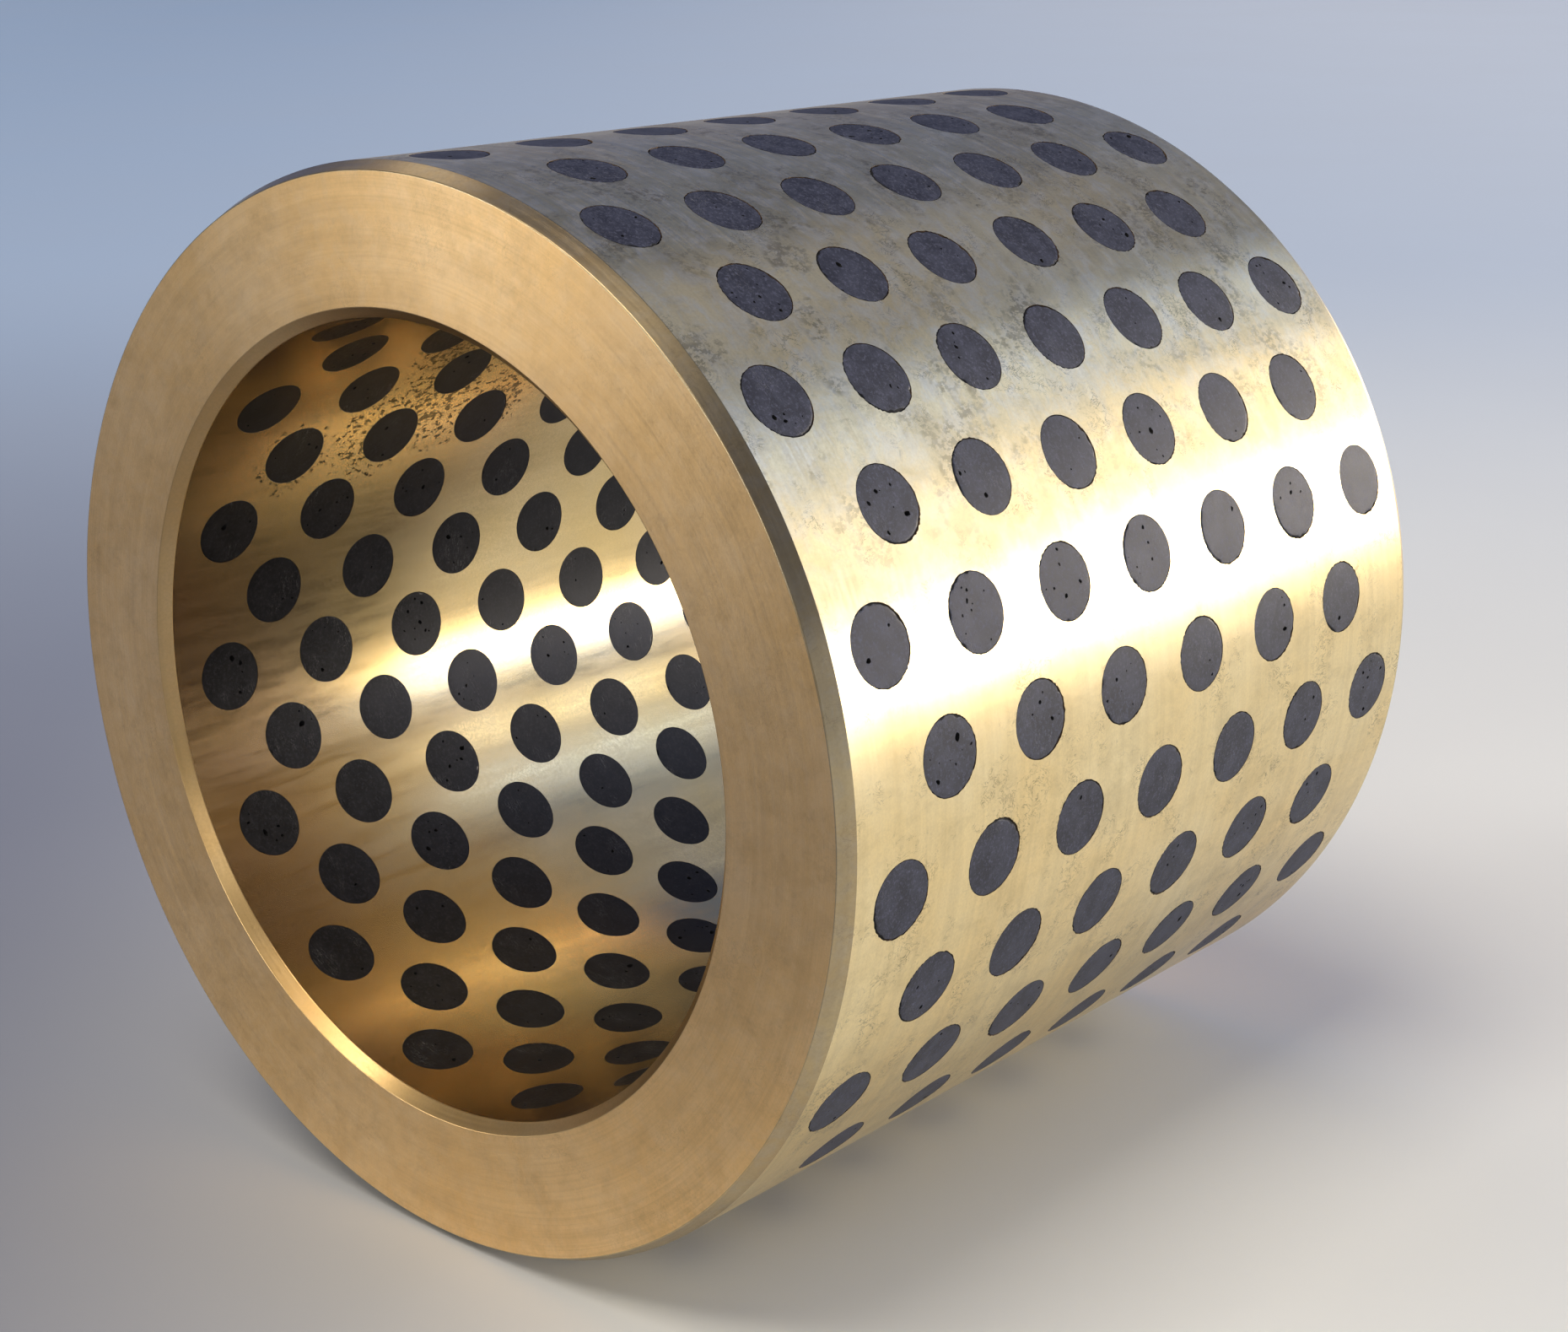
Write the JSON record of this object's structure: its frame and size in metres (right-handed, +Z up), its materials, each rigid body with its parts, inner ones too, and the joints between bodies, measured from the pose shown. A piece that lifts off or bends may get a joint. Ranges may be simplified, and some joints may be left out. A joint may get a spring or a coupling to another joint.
{
  "type": "bushing",
  "caption": "Straight bronze sleeve bearing with solid-lubricant plugs set flush through its wall, for a slow, heavily loaded shaft or pin.",
  "frame": {"origin": "on the bore's axis, half-way along the sleeve", "axes": "+Y along the bore's axis and +Z up, with the sleeve lying on its side; the first plug row runs along the top, and the end face seen in the reference view is at -Y"},
  "size_m": [0.15, 0.132, 0.15],
  "materials": {
    "bronze": "satin",
    "graphite": "matte"
  },
  "bodies": {
    "root": {"sleeve": "bronze", "plug_row_01": "graphite", "plug_row_02": "graphite", "plug_row_03": "graphite", "plug_row_04": "graphite", "plug_row_05": "graphite", "plug_row_06": "graphite", "plug_row_07": "graphite", "plug_row_08": "graphite", "plug_row_09": "graphite", "plug_row_10": "graphite", "plug_row_11": "graphite", "plug_row_12": "graphite", "plug_row_13": "graphite", "plug_row_14": "graphite", "plug_row_15": "graphite", "plug_row_16": "graphite", "plug_row_17": "graphite", "plug_row_18": "graphite", "plug_row_19": "graphite", "plug_row_20": "graphite", "plug_row_21": "graphite", "plug_row_22": "graphite", "plug_row_23": "graphite", "plug_row_24": "graphite", "plug_row_25": "graphite", "plug_row_26": "graphite", "plug_row_27": "graphite", "plug_row_28": "graphite", "plug_row_29": "graphite", "plug_row_30": "graphite"}
  },
  "joints": []
}
